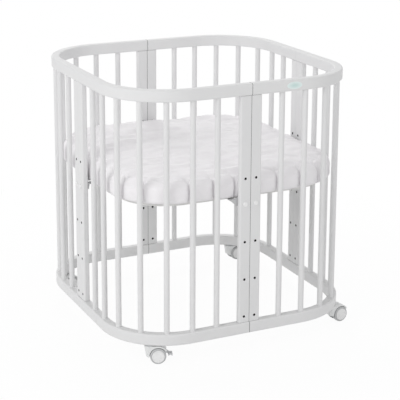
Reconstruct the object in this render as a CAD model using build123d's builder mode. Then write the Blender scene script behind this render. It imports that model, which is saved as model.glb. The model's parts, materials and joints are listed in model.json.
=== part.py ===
from build123d import *
import math
import os

# Playpen cot with round corners: four equal quarter frames of rails, slats and post boards stand on
# castors, and a base with a mattress hangs on a row of bolts in the posts.
# Millimetres. The origin is on the floor under the middle of the frame, +Z is up, the front faces -Y
# and +X runs to the right along the front.

# Clearances
glue_clearance = 0.1  # round a glued or driven piece in its hole
running_clearance = 0.05  # round a shaft that turns, or that another piece turns on
seat_gap = 0.3  # between a piece that lifts off or slides and its seat

# Frame
frame_width = 792.0  # outer width and depth of the square plan
corner_radius = 209.0  # outer radius of each corner
frame_height = 768.0  # underside of the lower rail to the top of the top rail
rail_width = 27.0
rail_height = 35.0
rail_edge_radius = 5.0
rail_end_chamfer = 0.4
rail_seam_gap = 0.8  # between the ends of two rails

# Slats
slats_per_quarter = 7
slat_diameter = 17.0
slat_socket_depth = 14.0

# Post boards, two side by side at each seam
board_width = 35.0
board_thickness = 18.0
board_outer_edge_radius = 5.0
board_seam_edge_radius = 0.6
board_seam_gap = 0.8  # between the two boards of a post
bolt_hole_diameter = 6.5
first_hole_rise = 19.1  # lowest hole above the lower rail
hole_pitch = 117.4
pitch_rows = 4
top_hole_step = 77.7  # from the highest of those rows to one more row

# Dowels
dowel_diameter = 8.0
post_dowel_length = 26.0
post_dowel_offset = 9.0  # from the middle of a board
seam_dowel_length = 50.0
seam_dowel_inset = 9.0  # from the rail face away from the boards

# Bolts of the base, with caps outside and collar nuts inside
bolt_diameter = 6.0
bolt_head_diameter = 10.5
bolt_head_height = 2.5
cap_wall = 1.2
nut_collar_diameter = 9.0
nut_flange_diameter = 15.0
nut_flange_thickness = 3.0
nut_floor = 1.3  # closed end of the nut's thread

# Base
panel_thickness = 10.0
panel_gap = 36.0  # to the inner faces of the rails
panel_rise = 3.7  # height of the panel's underside above the bolt line
vent_length = 80.0
vent_width = 14.0
vent_columns = 4
vent_rows = 8
vent_column_pitch = 130.0
vent_row_pitch = 70.0
batten_width = 40.0
batten_height = 20.0
batten_length = 520.0
batten_edge_radius = 2.0
batten_screws = 3

# Brackets of the base
bracket_thickness = 3.0
bracket_reach = 60.0  # from the seam to the far end of the top edge
bracket_slant = 22.0  # of that end, towards the bottom edge
bracket_top_width = 100.0
bracket_bottom_width = 68.0
bracket_drop = 8.0  # below the bolt line
bracket_tab_offsets = (-36.0, 0.0)  # of the tabs' middles from the seam
bracket_tab_width = 18.0
bracket_tab_length = 70.0

# Screws
screw_diameter = 4.0
screw_head_diameter = 8.0
screw_head_height = 2.4
screw_grip = 7.0  # thread in the panel

# Mattress
mattress_thickness = 72.0
mattress_gap = 4.5  # to the inner faces of the rails
mattress_edge_radius = 20.0
cover_thickness = 1.5
cover_hem = 60.0  # width of the cover turned in under the core

# Oval plate on the front top rail
badge_length = 50.0
badge_height = 22.0
badge_thickness = 1.5
badge_inlay = 1.0
badge_offset = 139.0  # from the front seam, to the right

# Castors
wheel_diameter = 48.0
wheel_width = 14.5
wheel_edge_radius = 3.0
wheel_web_gap = 0.5  # between a wheel and the hood's web
hub_disc_diameter = 38.0
hub_disc_rise = 0.8
axle_diameter = 6.0
axle_cover = 3.0  # wheel left over the end of the axle
trail = 25.0  # from the stem to the axle
web_thickness = 12.0
hood_width = 34.0
hood_wall = 4.0
well_clearance = 2.0
hood_front_reach = 15.5
hood_toe_reach = 10.0
hood_toe_drop = 2.0  # below the axle
hood_front_radius = 11.0
hood_edge_radius = 1.5
web_half_length = 11.0
web_drop = 8.0  # below the axle
fender_end_angle = 32.0  # above the horizontal, behind the axle
stem_diameter = 8.0
stem_in_hood = 23.0
sleeve_diameter = 14.0
sleeve_length = 24.0
sleeve_flange_diameter = 22.0
sleeve_flange_thickness = 2.2
castor_angle = 37.2  # along the corner bend, from its first end
castor_headings = {"front_left": -20.0, "front_right": 6.0, "back_right": 6.0, "back_left": 6.0}

# Brake lever of two of the castors
braked_corners = ("front_left", "back_left")
lever_pin_diameter = 4.0
lever_pin_back = 19.0  # behind the axle
lever_pin_rise = 12.0  # above the axle
lever_boss_diameter = 9.0
lever_thickness = 8.0
lever_side_gap = 0.4
lever_slot_front = 10.5  # behind the axle
lever_slot_rise = 19.0  # above the axle
pedal_gap = 6.0  # between the wheel and the pedal
pedal_length = 13.0
pedal_height = 8.0
pedal_width = 18.0
pedal_rise = 0.5  # pedal's middle above the axle
pedal_corner_radius = 2.5
pedal_arch_depth = 3.5

# Worked out from the sizes above
half_width = frame_width / 2
rail_line = half_width - rail_width / 2  # distance of the rails' centre line from the middle
bend_centre = half_width - corner_radius
bend_radius = corner_radius - rail_width / 2
quarter_length = 2 * bend_centre + bend_radius * math.pi / 2
axle_height = wheel_diameter / 2
well_radius = axle_height + well_clearance
fender_radius = well_radius + hood_wall
hood_top = axle_height + fender_radius
frame_bottom = hood_top + seat_gap + sleeve_flange_thickness
lower_rail_top = frame_bottom + rail_height
frame_top = frame_bottom + frame_height
top_rail_bottom = frame_top - rail_height
slat_gap = (quarter_length - 2 * board_width - slats_per_quarter * slat_diameter) / (slats_per_quarter + 1)
slat_pitch = slat_gap + slat_diameter
board_face = rail_line + board_thickness / 2  # outer face of the boards, from the middle
board_back = rail_line - board_thickness / 2
board_middle = board_width / 2
hole_heights = [lower_rail_top + first_hole_rise + row * hole_pitch for row in range(pitch_rows)]
hole_heights.append(hole_heights[-1] + top_hole_step)
bolt_line = hole_heights[pitch_rows - 1]
panel_bottom = bolt_line + panel_rise
panel_top = panel_bottom + panel_thickness
panel_half = half_width - rail_width - panel_gap
mattress_bottom = panel_top + seat_gap
mattress_half = half_width - rail_width - mattress_gap
mattress_corner = corner_radius - rail_width - mattress_gap
bracket_face = board_back - seat_gap  # outer face of a bracket, from the middle
nut_collar_length = bracket_thickness + 2 * seat_gap
slot_radius = nut_collar_diameter / 2 + seat_gap
wheel_inner = web_thickness / 2 + wheel_web_gap
axle_length = 2 * (wheel_inner + wheel_width - axle_cover)

corners = ("front_left", "front_right", "back_right", "back_left")
sides = ("front", "right", "back", "left")
quarter_planes = [Plane.XY.rotated((0, 0, 90 * turn)) for turn in range(len(corners))]
standing = (Align.CENTER, Align.CENTER, Align.MIN)
hanging = (Align.CENTER, Align.CENTER, Align.MAX)


def placed(piece, *planes):
    """A copy of a piece, carried out of its own frame through each plane in turn."""
    for plane in planes:
        piece = plane.from_local_coords(piece)
    return piece


def rail_path(height, end_gap=0):
    """The rails' centre line in the first quarter, from seam to seam, with a gap left at each end."""
    with BuildLine(Plane.XY.offset(height)) as path:
        Line((-end_gap, -rail_line), (-bend_centre, -rail_line))
        CenterArc((-bend_centre, -bend_centre), bend_radius, 270, -90)
        Line((-rail_line, -bend_centre), (-rail_line, -end_gap))
    return path.wire()


def path_points(distances):
    """Points of the rails' centre line in plan, at distances from the front seam."""
    line = rail_path(0)
    points = [line.position_at(distance, position_mode=PositionMode.LENGTH) for distance in distances]
    return [(point.X, point.Y) for point in points]


slat_points = path_points(
    [board_width + slat_gap + slat_diameter / 2 + count * slat_pitch for count in range(slats_per_quarter)]
)
castor_point = path_points([bend_centre + bend_radius * math.radians(castor_angle)])[0]
dowel_distances = [board_middle - post_dowel_offset, board_middle + post_dowel_offset]
dowel_distances += [quarter_length - distance for distance in dowel_distances]
dowel_points = path_points(dowel_distances)


def castor_frame(corner, quarter_plane):
    """A castor's own frame: its stem stands on the origin and its axle trails along +X."""
    heading = math.radians(castor_headings[corner])
    stem_foot = quarter_plane.from_local_coords((*castor_point, 0))
    return Plane(origin=stem_foot, x_dir=(math.cos(heading), math.sin(heading), 0), z_dir=(0, 0, 1))


castor_planes = {corner: castor_frame(corner, plane) for corner, plane in zip(corners, quarter_planes)}

os.makedirs("parts", exist_ok=True)

# Rails: one section swept along a quarter of the plan, with sockets on the side of the slats
rails = {}
for rail_name, rail_bottom, socket_side, inward, seam_height in (
    ("top_rail", top_rail_bottom, top_rail_bottom, 1, frame_top - seam_dowel_inset),
    ("lower_rail", frame_bottom, lower_rail_top, -1, frame_bottom + seam_dowel_inset),
):
    rail_middle = rail_bottom + rail_height / 2
    rail_end = (-rail_seam_gap / 2, -rail_line, rail_middle)
    with BuildPart() as rail:
        with BuildSketch(Plane(origin=rail_end, x_dir=(0, 1, 0), z_dir=(-1, 0, 0))):
            RectangleRounded(rail_width, rail_height, rail_edge_radius)
        sweep(path=rail_path(rail_middle, rail_seam_gap / 2))
        seam_faces = [rail.faces().sort_by(Axis.X)[-1], rail.faces().sort_by(Axis.Y)[-1]]
        chamfer([edge for face in seam_faces for edge in face.edges()], rail_end_chamfer)
        with BuildSketch(Plane.XY.offset(socket_side)):
            with Locations(*slat_points):
                Circle(slat_diameter / 2 + glue_clearance)
        extrude(amount=inward * slat_socket_depth, mode=Mode.SUBTRACT)
        with BuildSketch(Plane.XY.offset(socket_side)):
            with Locations(*dowel_points):
                Circle(dowel_diameter / 2 + glue_clearance)
        extrude(amount=inward * post_dowel_length / 2, mode=Mode.SUBTRACT)
        with BuildSketch(Plane(origin=(0, -rail_line, seam_height), x_dir=(0, 1, 0), z_dir=(-1, 0, 0))):
            Circle(dowel_diameter / 2 + glue_clearance)
        extrude(amount=seam_dowel_length / 2, mode=Mode.SUBTRACT)
        with BuildSketch(Plane(origin=(-rail_line, 0, seam_height), x_dir=(1, 0, 0), z_dir=(0, -1, 0))):
            Circle(dowel_diameter / 2 + glue_clearance)
        extrude(amount=seam_dowel_length / 2, mode=Mode.SUBTRACT)
        if rail_name == "lower_rail":
            with BuildSketch(Plane.XY.offset(frame_bottom)):
                with Locations(castor_point):
                    Circle(sleeve_diameter / 2 + glue_clearance)
            extrude(amount=sleeve_length, mode=Mode.SUBTRACT)
    rails[rail_name] = rail.part

badge_plane = Plane(
    origin=(badge_offset, badge_inlay - half_width, frame_top - rail_height / 2),
    x_dir=(1, 0, 0),
    z_dir=(0, -1, 0),
)
for corner, plane in zip(corners, quarter_planes):
    for rail_name, rail_part in rails.items():
        with BuildPart() as quarter_rail:
            add(placed(rail_part, plane))
            if (rail_name, corner) == ("top_rail", "front_right"):
                with BuildSketch(badge_plane):
                    Ellipse(badge_length / 2 + glue_clearance, badge_height / 2 + glue_clearance)
                extrude(amount=badge_inlay, mode=Mode.SUBTRACT)
        quarter_rail.part.label = f"{rail_name}_{corner}"
        export_step(quarter_rail.part, f"parts/{rail_name}_{corner}.step")

with BuildPart() as badge:
    with BuildSketch(badge_plane):
        Ellipse(badge_length / 2, badge_height / 2)
    extrude(amount=badge_thickness)
badge.part.label = "badge_plate"
export_step(badge.part, "parts/badge_plate.step")

# Slats: round bars that end on the bottoms of their sockets
slat_length = top_rail_bottom - lower_rail_top + 2 * slat_socket_depth
for corner, plane in zip(corners, quarter_planes):
    with BuildPart(plane.offset(lower_rail_top - slat_socket_depth)) as slats:
        with Locations(*slat_points):
            Cylinder(slat_diameter / 2, slat_length, align=standing)
    slats.part.label = f"slats_{corner}"
    export_step(slats.part, f"parts/slats_{corner}.step")

# Post boards: the left board of a post ends one quarter frame, the right board ends the next
board_ends = (lower_rail_top, top_rail_bottom)
board_height = top_rail_bottom - lower_rail_top
for hand, hand_sign in (("left", -1), ("right", 1)):
    middle = hand_sign * board_middle
    with BuildPart() as board:
        with BuildSketch(Plane.XY.offset(lower_rail_top)):
            with Locations((hand_sign * board_width, -rail_line)):
                Rectangle(
                    board_width - board_seam_gap / 2,
                    board_thickness,
                    align=(Align.MAX if hand_sign > 0 else Align.MIN, Align.CENTER),
                )
        extrude(amount=board_height)
        edge_columns = board.edges().filter_by(Axis.Z).group_by(Axis.X)
        free_edges, seam_edges = edge_columns[::hand_sign][1], edge_columns[::hand_sign][0]
        fillet(free_edges, board_outer_edge_radius)
        fillet(seam_edges, board_seam_edge_radius)
        with BuildSketch(Plane(origin=(middle, -board_back, 0), x_dir=(1, 0, 0), z_dir=(0, -1, 0))):
            with Locations(*[(0, height) for height in hole_heights]):
                Circle(bolt_hole_diameter / 2)
        extrude(amount=board_thickness, mode=Mode.SUBTRACT)
        for end, inward in zip(board_ends, (1, -1)):
            with BuildSketch(Plane.XY.offset(end)):
                with Locations((middle, -rail_line)):
                    with GridLocations(2 * post_dowel_offset, board_thickness, 2, 1):
                        Circle(dowel_diameter / 2 + glue_clearance)
            extrude(amount=inward * post_dowel_length / 2, mode=Mode.SUBTRACT)
    for side, plane in zip(sides, quarter_planes):
        with BuildPart() as post_board:
            add(placed(board.part, plane))
        post_board.part.label = f"{side}_post_{hand}_board"
        export_step(post_board.part, f"parts/{side}_post_{hand}_board.step")

# Dowels: upright ones between boards and rails, level ones across the rail seams
with BuildPart() as post_dowels:
    for plane in quarter_planes:
        for end in board_ends:
            with Locations(plane.offset(end)):
                with Locations(*dowel_points):
                    Cylinder(dowel_diameter / 2, post_dowel_length)
post_dowels.part.label = "post_dowels"
export_step(post_dowels.part, "parts/post_dowels.step")

with BuildPart() as seam_dowels:
    for plane in quarter_planes:
        for height in (frame_bottom + seam_dowel_inset, frame_top - seam_dowel_inset):
            with Locations(plane.offset(height)):
                with Locations((0, -rail_line)):
                    Cylinder(dowel_diameter / 2, seam_dowel_length, rotation=(0, 90, 0))
seam_dowels.part.label = "seam_dowel_screws"
export_step(seam_dowels.part, "parts/seam_dowel_screws.step")

# Bolts of the base: pan head outside under a snap-on cap, collar nut inside for the bracket to hang on
bolt_reach = board_thickness + nut_collar_length + nut_flange_thickness - nut_floor
bolt_spots = [(-board_middle, bolt_line), (board_middle, bolt_line)]
face_plane = Plane(origin=(0, -board_face, 0), x_dir=(1, 0, 0), z_dir=(0, -1, 0))
back_plane = Plane(origin=(0, -board_back, 0), x_dir=(1, 0, 0), z_dir=(0, 1, 0))
cap_height = bolt_head_height + glue_clearance + cap_wall
cap_radius = bolt_head_diameter / 2 + glue_clearance + cap_wall

with BuildPart() as bolt_pair:
    with BuildSketch(face_plane):
        with Locations(*bolt_spots):
            Circle(bolt_head_diameter / 2)
    extrude(amount=bolt_head_height)
    with BuildSketch(face_plane):
        with Locations(*bolt_spots):
            Circle(bolt_diameter / 2)
    extrude(amount=-bolt_reach)

with BuildPart() as cap_pair:
    with BuildSketch(face_plane):
        with Locations(*bolt_spots):
            Circle(cap_radius)
    extrude(amount=cap_height)
    fillet(cap_pair.faces().group_by(Axis.Y)[0].edges(), cap_wall)
    with BuildSketch(face_plane):
        with Locations(*bolt_spots):
            Circle(bolt_head_diameter / 2 + glue_clearance)
    extrude(amount=bolt_head_height + glue_clearance, mode=Mode.SUBTRACT)

nut_spots = [(x, -height) for x, height in bolt_spots]  # the plane of the backs points down
with BuildPart() as nut_pair:
    with BuildSketch(back_plane):
        with Locations(*nut_spots):
            Circle(nut_collar_diameter / 2)
    extrude(amount=nut_collar_length)
    with BuildSketch(back_plane.offset(nut_collar_length)):
        with Locations(*nut_spots):
            Circle(nut_flange_diameter / 2)
    extrude(amount=nut_flange_thickness)
    with BuildSketch(back_plane):
        with Locations(*nut_spots):
            Circle(bolt_diameter / 2 + running_clearance)
    extrude(amount=nut_collar_length + nut_flange_thickness - nut_floor, mode=Mode.SUBTRACT)

for label, pair in (("base_bolts", bolt_pair), ("bolt_caps", cap_pair), ("collar_nuts", nut_pair)):
    with BuildPart() as all_round:
        for plane in quarter_planes:
            add(placed(pair.part, plane))
    all_round.part.label = label
    export_step(all_round.part, f"parts/{label}.step")

# Brackets: a plate that hangs on the collar nuts, with two tabs welded to its back under the panel
tab_end = bracket_face - bracket_tab_length
tab_screw_line = (panel_half + tab_end) / 2  # midway along the part of a tab that is under the panel
tab_screw_spots = [(offset, -tab_screw_line) for offset in bracket_tab_offsets]
bracket_plane = Plane(origin=(0, -bracket_face, 0), x_dir=(1, 0, 0), z_dir=(0, -1, 0))
with BuildPart() as bracket:
    with BuildSketch(bracket_plane):
        with BuildLine():
            Polyline(
                (bracket_slant - bracket_reach, bolt_line - bracket_drop),
                (bracket_slant - bracket_reach + bracket_bottom_width, bolt_line - bracket_drop),
                (bracket_top_width - bracket_reach, panel_top),
                (-bracket_reach, panel_top),
                close=True,
            )
        make_face()
        with Locations(*bolt_spots):
            Circle(slot_radius, mode=Mode.SUBTRACT)
            Rectangle(
                2 * slot_radius, bracket_drop, align=(Align.CENTER, Align.MAX), mode=Mode.SUBTRACT
            )
    extrude(amount=-bracket_thickness)
    with BuildSketch(Plane.XY.offset(panel_bottom)):
        with Locations(*[(offset, -bracket_face) for offset in bracket_tab_offsets]):
            Rectangle(bracket_tab_width, bracket_tab_length, align=(Align.CENTER, Align.MIN))
    extrude(amount=-bracket_thickness)
    with BuildSketch(Plane.XY.offset(panel_bottom)):
        with Locations(*tab_screw_spots):
            Circle(screw_diameter / 2 + glue_clearance)
    extrude(amount=-bracket_thickness, mode=Mode.SUBTRACT)
for side, plane in zip(sides, quarter_planes):
    with BuildPart() as side_bracket:
        add(placed(bracket.part, plane))
    side_bracket.part.label = f"base_bracket_{side}"
    export_step(side_bracket.part, f"parts/base_bracket_{side}.step")

# Base panel with vents, on the tabs, with two battens under it between the columns of vents
batten_bottom = panel_bottom - batten_height
batten_middles = (-vent_column_pitch, vent_column_pitch)
batten_screw_pitch = batten_length / batten_screws
with BuildPart() as panel:
    with BuildSketch(Plane.XY.offset(panel_bottom)):
        RectangleRounded(2 * panel_half, 2 * panel_half, corner_radius - rail_width - panel_gap)
        with GridLocations(vent_column_pitch, vent_row_pitch, vent_columns, vent_rows):
            SlotOverall(vent_length, vent_width, mode=Mode.SUBTRACT)
    extrude(amount=panel_thickness)
    with BuildSketch(Plane.XY.offset(panel_bottom)):
        for plane in quarter_planes:
            with Locations(*[plane.from_local_coords((*spot, 0)) for spot in tab_screw_spots]):
                Circle(screw_diameter / 2 + glue_clearance)
        for middle in batten_middles:
            with Locations((middle, 0)):
                with GridLocations(batten_width, batten_screw_pitch, 1, batten_screws):
                    Circle(screw_diameter / 2 + glue_clearance)
    extrude(amount=screw_grip, mode=Mode.SUBTRACT)
panel.part.label = "base_panel"
export_step(panel.part, "parts/base_panel.step")

with BuildPart() as battens:
    with BuildSketch(Plane.XY.offset(batten_bottom)):
        with Locations(*[(middle, 0) for middle in batten_middles]):
            Rectangle(batten_width, batten_length)
    extrude(amount=batten_height)
    fillet(battens.edges().filter_by(Axis.Y).group_by(Axis.Z)[0], batten_edge_radius)
    with BuildSketch(Plane.XY.offset(batten_bottom)):
        for middle in batten_middles:
            with Locations((middle, 0)):
                with GridLocations(batten_width, batten_screw_pitch, 1, batten_screws):
                    Circle(screw_diameter / 2 + glue_clearance)
    extrude(amount=batten_height, mode=Mode.SUBTRACT)
battens.part.label = "base_battens"
export_step(battens.part, "parts/base_battens.step")

# Screws, driven from below, with heads that stand under the tabs and the battens
with BuildPart() as bracket_screws:
    for plane in quarter_planes:
        with Locations(plane.offset(panel_bottom - bracket_thickness)):
            with Locations(*tab_screw_spots):
                Cylinder(screw_diameter / 2, bracket_thickness + screw_grip, align=standing)
                Cylinder(screw_head_diameter / 2, screw_head_height, align=hanging)
bracket_screws.part.label = "bracket_screws"
export_step(bracket_screws.part, "parts/bracket_screws.step")

with BuildPart() as batten_screw_set:
    for middle in batten_middles:
        with Locations((middle, 0, batten_bottom)):
            with GridLocations(batten_width, batten_screw_pitch, 1, batten_screws):
                Cylinder(screw_diameter / 2, batten_height + screw_grip, align=standing)
                Cylinder(screw_head_diameter / 2, screw_head_height, align=hanging)
batten_screw_set.part.label = "batten_screws"
export_step(batten_screw_set.part, "parts/batten_screws.step")

# Mattress: a foam core in a cover that is turned in under it
core_half = mattress_half - cover_thickness - glue_clearance
core_corner = mattress_corner - cover_thickness - glue_clearance
core_radius = mattress_edge_radius - cover_thickness - glue_clearance
with BuildPart() as core:
    with BuildSketch(Plane.XY.offset(mattress_bottom + cover_thickness)):
        RectangleRounded(2 * core_half, 2 * core_half, core_corner)
    extrude(amount=mattress_thickness - 2 * cover_thickness)
    fillet(core.faces().filter_by(Axis.Z).edges(), core_radius)
core.part.label = "mattress_core"
export_step(core.part, "parts/mattress_core.step")

cover_inside = mattress_half - cover_thickness
with BuildPart() as cover_room:
    with BuildSketch(Plane.XY.offset(mattress_bottom + cover_thickness)):
        RectangleRounded(2 * cover_inside, 2 * cover_inside, mattress_corner - cover_thickness)
    extrude(amount=mattress_thickness - 2 * cover_thickness)
    fillet(cover_room.faces().filter_by(Axis.Z).edges(), mattress_edge_radius - cover_thickness)

with BuildPart() as cover:
    with BuildSketch(Plane.XY.offset(mattress_bottom)):
        RectangleRounded(2 * mattress_half, 2 * mattress_half, mattress_corner)
    extrude(amount=mattress_thickness)
    fillet(cover.faces().filter_by(Axis.Z).edges(), mattress_edge_radius)
    add(cover_room.part, mode=Mode.SUBTRACT)
    with BuildSketch(Plane.XY.offset(mattress_bottom)):
        RectangleRounded(
            2 * (mattress_half - cover_hem), 2 * (mattress_half - cover_hem), mattress_corner - cover_hem
        )
    extrude(amount=cover_thickness, mode=Mode.SUBTRACT)
cover.part.label = "mattress_cover"
export_step(cover.part, "parts/mattress_cover.step")

# Castors: sleeves in the rails hold the stems that the hoods swivel on
with BuildPart() as sleeves:
    for plane in quarter_planes:
        with Locations(plane.offset(frame_bottom)):
            with Locations(castor_point):
                Cylinder(sleeve_diameter / 2, sleeve_length, align=standing)
                Cylinder(sleeve_flange_diameter / 2, sleeve_flange_thickness, align=hanging)
                Cylinder(
                    stem_diameter / 2 + running_clearance,
                    2 * (sleeve_length + sleeve_flange_thickness),
                    mode=Mode.SUBTRACT,
                )
sleeves.part.label = "castor_sleeves"
export_step(sleeves.part, "parts/castor_sleeves.step")

stem_bottom = hood_top - stem_in_hood
with BuildPart() as stems:
    for plane in quarter_planes:
        with Locations(plane.offset(stem_bottom)):
            with Locations(castor_point):
                Cylinder(stem_diameter / 2, frame_bottom + sleeve_length - stem_bottom, align=standing)
stems.part.label = "castor_stems"
export_step(stems.part, "parts/castor_stems.step")

# Hood, in the castor's own frame
with BuildPart() as hood:
    with BuildSketch(Plane.XZ):
        with BuildLine():
            top = Line((-hood_front_reach, hood_top), (trail, hood_top))
            crown = CenterArc((trail, axle_height), fender_radius, 90, fender_end_angle - 90)
            Polyline(
                crown @ 1,
                (trail + web_half_length, axle_height - web_drop),
                (trail - web_half_length, axle_height - web_drop),
                (-hood_toe_reach, axle_height - hood_toe_drop),
                top @ 0,
            )
        make_face()
    extrude(amount=hood_width / 2, both=True)
    fillet(hood.edges().filter_by(Axis.Y, reverse=True).group_by(Axis.X)[0], hood_front_radius)
    hood_cheeks = hood.faces().group_by(Axis.Y)
    fillet(hood_cheeks[0].edges() + hood_cheeks[-1].edges(), hood_edge_radius)
    for outward in (1, -1):
        with BuildSketch(Plane.XZ.offset(outward * web_thickness / 2)):
            with Locations((trail, axle_height)):
                Circle(well_radius)
        extrude(amount=outward * hood_width, mode=Mode.SUBTRACT)
    with BuildSketch(Plane.XZ):
        with Locations((trail, axle_height)):
            Circle(axle_diameter / 2 + running_clearance)
    extrude(amount=hood_width, both=True, mode=Mode.SUBTRACT)
    with Locations((0, 0, hood_top)):
        Hole(stem_diameter / 2 + running_clearance, depth=stem_in_hood + seat_gap)

# A hood with a brake lever has a slot in its web and a hole for the lever's pin
lever_pin_spot = (trail + lever_pin_back, axle_height + lever_pin_rise)
lever_slot_width = lever_thickness + 2 * lever_side_gap
with BuildPart() as braked_hood:
    add(hood.part)
    with BuildSketch(Plane.XZ):
        with Locations((trail + lever_slot_front, 0)):
            Rectangle(fender_radius, axle_height + lever_slot_rise, align=(Align.MIN, Align.MIN))
    extrude(amount=lever_slot_width / 2, both=True, mode=Mode.SUBTRACT)
    with BuildSketch(Plane.XZ):
        with Locations(lever_pin_spot):
            Circle(lever_pin_diameter / 2 + running_clearance)
    extrude(amount=web_thickness, both=True, mode=Mode.SUBTRACT)

with BuildPart() as axle:
    with BuildSketch(Plane.XZ):
        with Locations((trail, axle_height)):
            Circle(axle_diameter / 2)
    extrude(amount=axle_length / 2, both=True)

with BuildPart() as lever_pin:
    with BuildSketch(Plane.XZ):
        with Locations(lever_pin_spot):
            Circle(lever_pin_diameter / 2)
    extrude(amount=web_thickness / 2, both=True)

pedal_front = trail + axle_height + pedal_gap
pedal_middle = (pedal_front + pedal_length / 2, axle_height + pedal_rise)
with BuildPart() as lever:
    with BuildSketch(Plane.XZ):
        with Locations(lever_pin_spot):
            Circle(lever_boss_diameter / 2)
        with Locations((pedal_middle[0], pedal_middle[1] + pedal_height / 4)):
            Circle(pedal_height / 4)
        make_hull()
    extrude(amount=lever_thickness / 2, both=True)
    with BuildSketch(Plane.XZ):
        with Locations(pedal_middle):
            RectangleRounded(pedal_length, pedal_height, pedal_corner_radius)
            with Locations((0, -pedal_height / 2)):
                Ellipse(pedal_length / 3, pedal_arch_depth, mode=Mode.SUBTRACT)
    extrude(amount=pedal_width / 2, both=True)
    with BuildSketch(Plane.XZ):
        with Locations(lever_pin_spot):
            Circle(lever_pin_diameter / 2 + running_clearance)
    extrude(amount=lever_thickness, both=True, mode=Mode.SUBTRACT)

# Wheel, in its own frame: the inner face is at the origin and the axle's end points along +Z
with BuildPart() as wheel:
    Cylinder(wheel_diameter / 2, wheel_width - hub_disc_rise, align=standing)
    fillet(wheel.edges().filter_by(GeomType.CIRCLE), wheel_edge_radius)
    with BuildSketch(Plane.XY.offset(wheel_width - hub_disc_rise)):
        Circle(hub_disc_diameter / 2)
    extrude(amount=hub_disc_rise)
    with BuildSketch():
        Circle(axle_diameter / 2 + running_clearance)
    extrude(amount=axle_length / 2 - wheel_inner + seat_gap, mode=Mode.SUBTRACT)
wheel_planes = {
    "left": Plane(origin=(trail, -wheel_inner, axle_height), x_dir=(1, 0, 0), z_dir=(0, -1, 0)),
    "right": Plane(origin=(trail, wheel_inner, axle_height), x_dir=(1, 0, 0), z_dir=(0, 1, 0)),
}

for corner, castor_plane in castor_planes.items():
    with BuildPart() as castor_hood:
        add(placed(braked_hood.part if corner in braked_corners else hood.part, castor_plane))
    castor_hood.part.label = f"castor_hood_{corner}"
    export_step(castor_hood.part, f"parts/castor_hood_{corner}.step")
    with BuildPart() as castor_axle:
        add(placed(axle.part, castor_plane))
    castor_axle.part.label = f"castor_axle_{corner}"
    export_step(castor_axle.part, f"parts/castor_axle_{corner}.step")
    for hand, wheel_plane in wheel_planes.items():
        with BuildPart() as castor_wheel:
            add(placed(wheel.part, wheel_plane, castor_plane))
        castor_wheel.part.label = f"castor_wheel_{corner}_{hand}"
        export_step(castor_wheel.part, f"parts/castor_wheel_{corner}_{hand}.step")
    if corner in braked_corners:
        with BuildPart() as brake_lever:
            add(placed(lever.part, castor_plane))
        brake_lever.part.label = f"brake_lever_{corner}"
        export_step(brake_lever.part, f"parts/brake_lever_{corner}.step")
        with BuildPart() as brake_pin:
            add(placed(lever_pin.part, castor_plane))
        brake_pin.part.label = f"brake_lever_pin_{corner}"
        export_step(brake_pin.part, f"parts/brake_lever_pin_{corner}.step")
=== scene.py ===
"""Looks of the playpen: finishes for the CAD nodes, the soft mattress, the castor wheels and the studio."""

from __future__ import annotations

import json
import logging
import math
from dataclasses import dataclass
from enum import Enum
from typing import Any, Callable, Iterable

import bpy
import numpy as np
from mathutils import Matrix, Vector, noise

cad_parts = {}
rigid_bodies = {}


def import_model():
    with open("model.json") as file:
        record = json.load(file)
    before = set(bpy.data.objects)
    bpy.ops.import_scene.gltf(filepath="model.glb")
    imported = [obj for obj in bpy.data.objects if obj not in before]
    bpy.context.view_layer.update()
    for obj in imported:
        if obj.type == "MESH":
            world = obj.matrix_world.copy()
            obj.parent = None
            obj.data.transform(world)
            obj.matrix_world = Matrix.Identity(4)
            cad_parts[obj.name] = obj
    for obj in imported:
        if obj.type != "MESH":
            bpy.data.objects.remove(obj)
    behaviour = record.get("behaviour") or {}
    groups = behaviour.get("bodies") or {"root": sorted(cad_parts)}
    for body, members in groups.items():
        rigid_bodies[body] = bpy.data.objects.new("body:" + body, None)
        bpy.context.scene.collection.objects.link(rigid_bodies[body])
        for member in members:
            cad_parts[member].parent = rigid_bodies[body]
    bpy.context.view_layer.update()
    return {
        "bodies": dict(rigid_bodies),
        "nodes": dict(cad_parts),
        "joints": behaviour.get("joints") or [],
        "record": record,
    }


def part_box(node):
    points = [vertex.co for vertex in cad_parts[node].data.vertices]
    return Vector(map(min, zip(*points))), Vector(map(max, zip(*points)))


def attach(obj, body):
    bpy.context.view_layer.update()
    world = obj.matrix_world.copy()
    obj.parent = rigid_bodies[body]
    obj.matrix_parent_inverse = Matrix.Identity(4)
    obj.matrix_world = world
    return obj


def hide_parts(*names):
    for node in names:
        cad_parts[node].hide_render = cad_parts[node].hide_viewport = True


LOG = logging.getLogger("playpen")
MM = 0.001
NEARLY = 0.1 * MM  # tolerance when faces and edges are picked by their place
LEVEL_FACE = 0.99  # size of a normal's Z beyond which its face is level
DOWNWARD = -0.9  # a normal's Z below which its face looks down
TINY = 1e-9  # keeps a division from zero
IN_METRES = (1.0, 1.0, 1.0)  # pattern size that leaves coordinates as they are
PLAIN_WHITE = "#FFFFFF"


def linear(code: str) -> tuple[float, float, float, float]:
    """Turn an sRGB hex colour into the linear values that shaders take.

    Args:
        code: Colour as "#RRGGBB".

    Returns:
        Red, green, blue and alpha, linear.
    """
    parts = [int(code[place:place + 2], 16) / 255 for place in (1, 3, 5)]
    bent = [part / 12.92 if part <= 0.04045 else ((part + 0.055) / 1.055) ** 2.4 for part in parts]
    return (bent[0], bent[1], bent[2], 1.0)


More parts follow.
